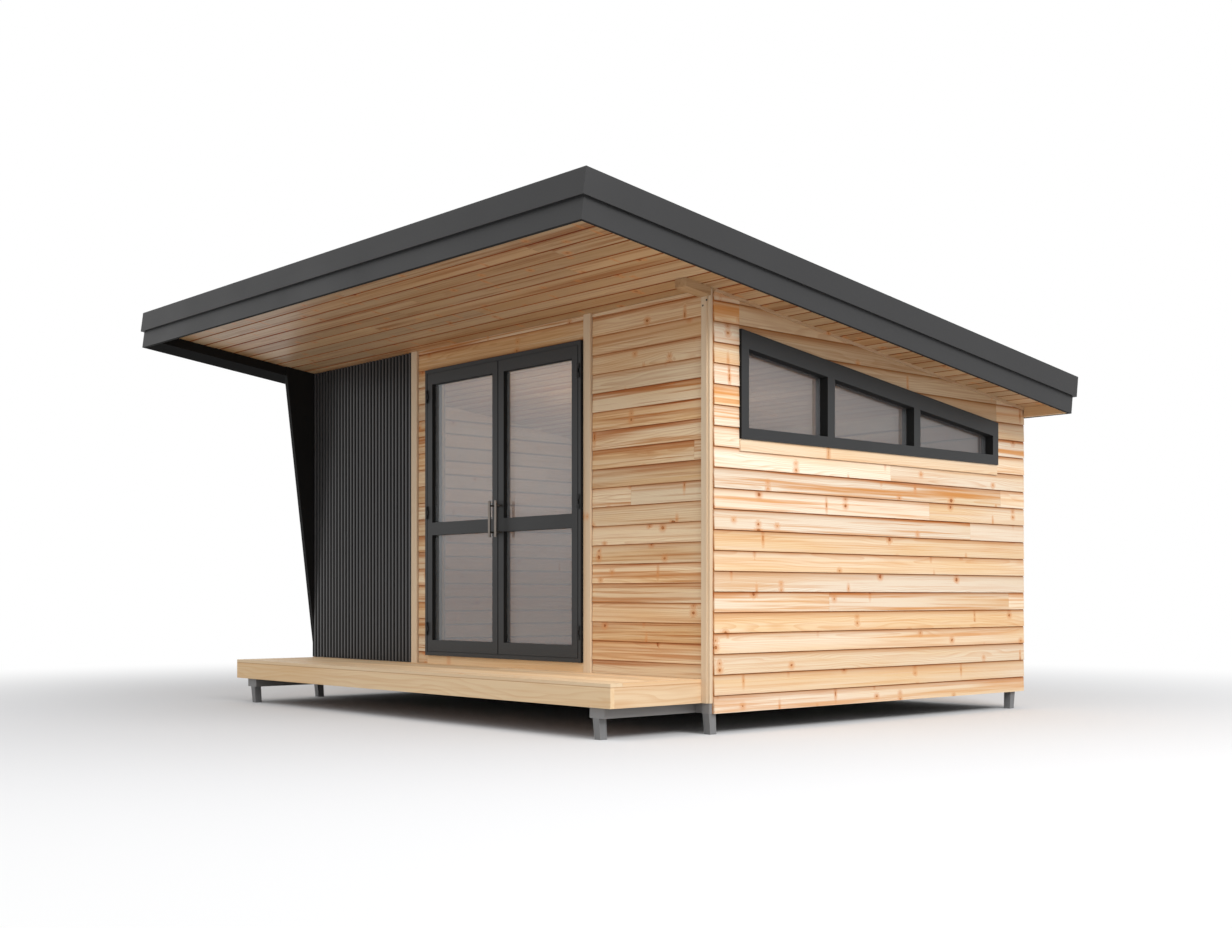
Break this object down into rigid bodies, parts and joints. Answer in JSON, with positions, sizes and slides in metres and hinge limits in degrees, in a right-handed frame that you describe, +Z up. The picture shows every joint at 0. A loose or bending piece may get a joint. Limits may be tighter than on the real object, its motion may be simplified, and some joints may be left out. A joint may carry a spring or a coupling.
{
  "type": "garden shed",
  "caption": "Timber garden room with a tilted flat roof, front deck, glazed double door, ribbed dark panel and a long side window, on steel legs.",
  "frame": {"origin": "on the ground under the middle of the roof's plan box", "axes": "+X to the right along the front, +Y towards the back, +Z up; the front with the door faces -Y"},
  "size_m": [5.182, 4.583, 2.9575],
  "materials": {
    "steel": "satin grey paint",
    "floor_timber": "planed floor boards",
    "deck_timber": "planed pale softwood",
    "wall_timber": "lapped pine siding with knots",
    "trim_timber": "planed pale pine",
    "ribbed_metal": "matt black coating on upright ribs",
    "black_board": "matt black coating",
    "frame_metal": "satin dark grey coating",
    "glass": "lightly tinted double glazing",
    "handle_steel": "brushed",
    "soffit_timber": "grooved pine boards",
    "roof_core": "hidden roof layers",
    "roof_metal": "matt dark sheet with standing seams",
    "fascia_metal": "matt dark grey coating"
  },
  "bodies": {
    "shed": {"legs": "steel", "side_beams": "steel", "cross_beams": "steel", "deck_beams": "steel", "floor": "floor_timber", "deck_boards": "deck_timber", "deck_rim_front": "deck_timber", "deck_rim_ends": "deck_timber", "deck_joists": "deck_timber", "front_wall_left": "wall_timber", "front_wall_right": "wall_timber", "door_header": "wall_timber", "left_wall": "wall_timber", "back_wall": "wall_timber", "right_wall_lower": "wall_timber", "right_wall_piers": "wall_timber", "right_wall_header": "wall_timber", "door_sill": "trim_timber", "corner_post": "trim_timber", "door_trim_left": "trim_timber", "door_trim_right": "trim_timber", "frieze_board": "trim_timber", "window_apron": "trim_timber", "beam_end": "trim_timber", "soffit_end_board": "trim_timber", "ribbed_panel": "ribbed_metal", "left_wing": "black_board", "left_verge": "black_board", "window_rails": "frame_metal", "window_posts": "frame_metal", "door_frame_jambs": "frame_metal", "door_frame_head": "frame_metal", "door_frame_threshold": "frame_metal", "frame_hinges": "frame_metal", "window_glass": "glass", "soffit": "soffit_timber", "roof_core": "roof_core", "roof_sheet": "roof_metal", "fascia_front": "fascia_metal", "fascia_back": "fascia_metal", "fascia_left": "fascia_metal", "fascia_right": "fascia_metal", "cap_front": "fascia_metal", "cap_back": "fascia_metal", "cap_left": "fascia_metal", "cap_right": "fascia_metal"},
    "left_door": {"left_leaf_stiles": "frame_metal", "left_leaf_rails": "frame_metal", "left_leaf_glass": "glass", "left_handle": "handle_steel"},
    "right_door": {"right_leaf_stiles": "frame_metal", "right_leaf_rails": "frame_metal", "right_leaf_glass": "glass", "right_handle": "handle_steel"}
  },
  "joints": [
    {"name": "left_door_swing", "type": "hinge", "parent": "shed", "child": "left_door", "pos_m": [-0.6375, -1.0203, 1.4035], "axis": [0, 0, -1], "range_deg": [0, 100]},
    {"name": "right_door_swing", "type": "hinge", "parent": "shed", "child": "right_door", "pos_m": [1.0375, -1.0203, 1.4035], "axis": [0, 0, 1], "range_deg": [0, 100]}
  ]
}
